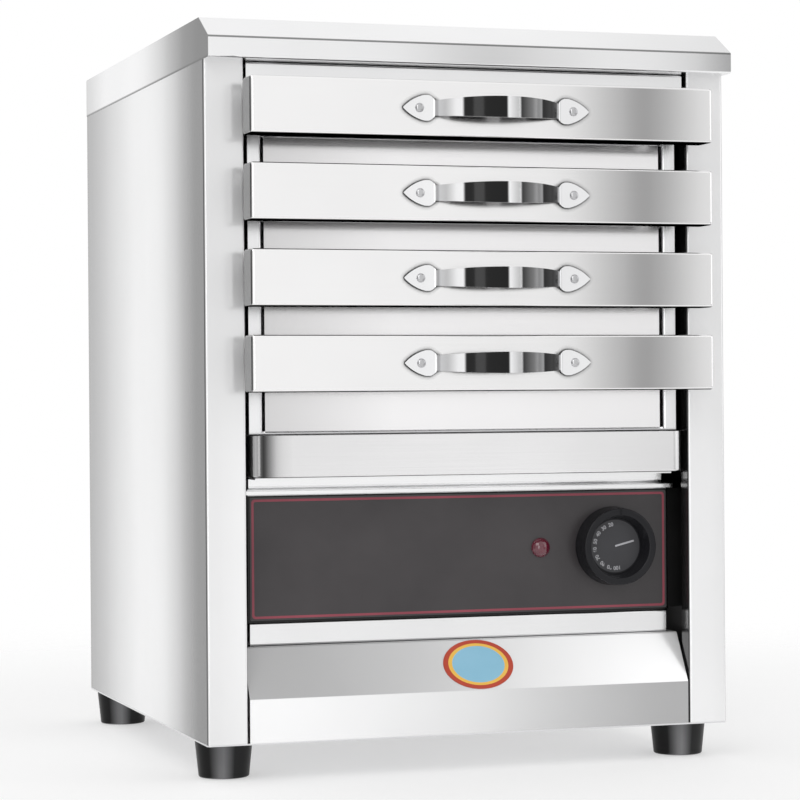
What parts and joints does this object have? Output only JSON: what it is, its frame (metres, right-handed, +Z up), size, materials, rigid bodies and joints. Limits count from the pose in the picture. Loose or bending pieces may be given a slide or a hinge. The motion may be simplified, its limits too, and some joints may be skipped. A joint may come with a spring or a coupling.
{
  "type": "rice roll steamer",
  "caption": "Tabletop rice roll steamer: sliding steam trays with bow handles over a heated water tank in a folded stainless cabinet on rubber feet.",
  "frame": {"origin": "bottom centre of the whole machine, on the surface it stands on", "axes": "+X to the right seen from the front, +Y to the back, +Z up"},
  "size_m": [0.438, 0.57, 0.594],
  "materials": {
    "stainless": "brushed stainless sheet",
    "polished_stainless": "finely brushed, almost polished stainless sheet",
    "tray_stainless": "plain mill-finish stainless sheet",
    "inner_steel": "galvanised inner sheet steel",
    "chrome": "bright chrome plate",
    "plain_steel": "zinc plated steel",
    "foot_rubber": "moulded black rubber",
    "panel_black": "dark facing sheet, semi-gloss",
    "knob_black": "black moulded plastic",
    "switch_plastic": "heat-proof moulded plastic",
    "copper": "copper tube",
    "lamp_red": "dark red lens",
    "element_sheath": "oxidised heater sheath",
    "brass": "cast and turned brass",
    "grip_vinyl": "dipped vinyl",
    "gland_black": "black nylon",
    "badge_print": "plain printed film, bands of colour"
  },
  "bodies": {
    "cabinet": {"left_side_panel": "stainless", "right_side_panel": "stainless", "rear_panel": "stainless", "rear_panel_screws": "plain_steel", "base_plate": "inner_steel", "top_cover": "stainless", "rubber_feet": "foot_rubber", "foot_screws": "plain_steel", "lower_apron": "stainless", "lower_rail": "stainless", "control_panel": "stainless", "panel_overlay": "panel_black", "control_brackets": "inner_steel", "drip_shelf": "stainless", "lower_crossbar": "stainless", "dividers": "stainless", "header": "stainless", "chamber_left_wall": "stainless", "chamber_right_wall": "stainless", "chamber_rear_wall": "tray_stainless", "chamber_ceiling": "tray_stainless", "tray_rails": "tray_stainless", "water_tank": "tray_stainless", "tank_supports": "inner_steel", "heating_element": "element_sheath", "element_nuts": "brass", "thermostat_body": "switch_plastic", "thermostat_nut": "plain_steel", "thermostat_bulb": "copper", "lamp_lens": "lamp_red", "lamp_body": "switch_plastic", "drain_pipe": "plain_steel", "drain_valve": "brass", "cable_gland": "gland_black", "gland_nut": "gland_black", "terminal_block": "switch_plastic", "round_badge": "badge_print"},
    "drawer_1": {"drawer_1_front": "polished_stainless", "drawer_1_tray": "tray_stainless", "drawer_1_handle": "chrome", "drawer_1_rivets": "chrome"},
    "drawer_2": {"drawer_2_front": "polished_stainless", "drawer_2_tray": "tray_stainless", "drawer_2_handle": "chrome", "drawer_2_rivets": "chrome"},
    "drawer_3": {"drawer_3_front": "polished_stainless", "drawer_3_tray": "tray_stainless", "drawer_3_handle": "chrome", "drawer_3_rivets": "chrome"},
    "drawer_4": {"drawer_4_front": "polished_stainless", "drawer_4_tray": "tray_stainless", "drawer_4_handle": "chrome", "drawer_4_rivets": "chrome"},
    "knob": {"thermostat_knob": "knob_black", "thermostat_shaft": "plain_steel"},
    "valve_lever": {"drain_lever": "plain_steel", "lever_grip": "grip_vinyl", "lever_nut": "plain_steel", "valve_stem": "plain_steel"},
    "drip_drawer": {"drip_tray": "stainless"}
  },
  "joints": [
    {"name": "drawer_1_slide", "type": "slide", "parent": "cabinet", "child": "drawer_1", "axis": [0, -1, 0], "range_m": [0, 0.3]},
    {"name": "drawer_2_slide", "type": "slide", "parent": "cabinet", "child": "drawer_2", "axis": [0, -1, 0], "range_m": [0, 0.3]},
    {"name": "drawer_3_slide", "type": "slide", "parent": "cabinet", "child": "drawer_3", "axis": [0, -1, 0], "range_m": [0, 0.3]},
    {"name": "drawer_4_slide", "type": "slide", "parent": "cabinet", "child": "drawer_4", "axis": [0, -1, 0], "range_m": [0, 0.3]},
    {"name": "knob_turn", "type": "hinge", "parent": "cabinet", "child": "knob", "pos_m": [0.1295, -0.1934, 0.175], "axis": [0, 1, 0], "range_deg": [0, 270]},
    {"name": "valve_turn", "type": "hinge", "parent": "cabinet", "child": "valve_lever", "pos_m": [-0.12, 0.261, 0.1764], "axis": [0, 0, 1], "range_deg": [0, 90]},
    {"name": "drip_slide", "type": "slide", "parent": "cabinet", "child": "drip_drawer", "axis": [0, -1, 0], "range_m": [0, 0.04]}
  ]
}
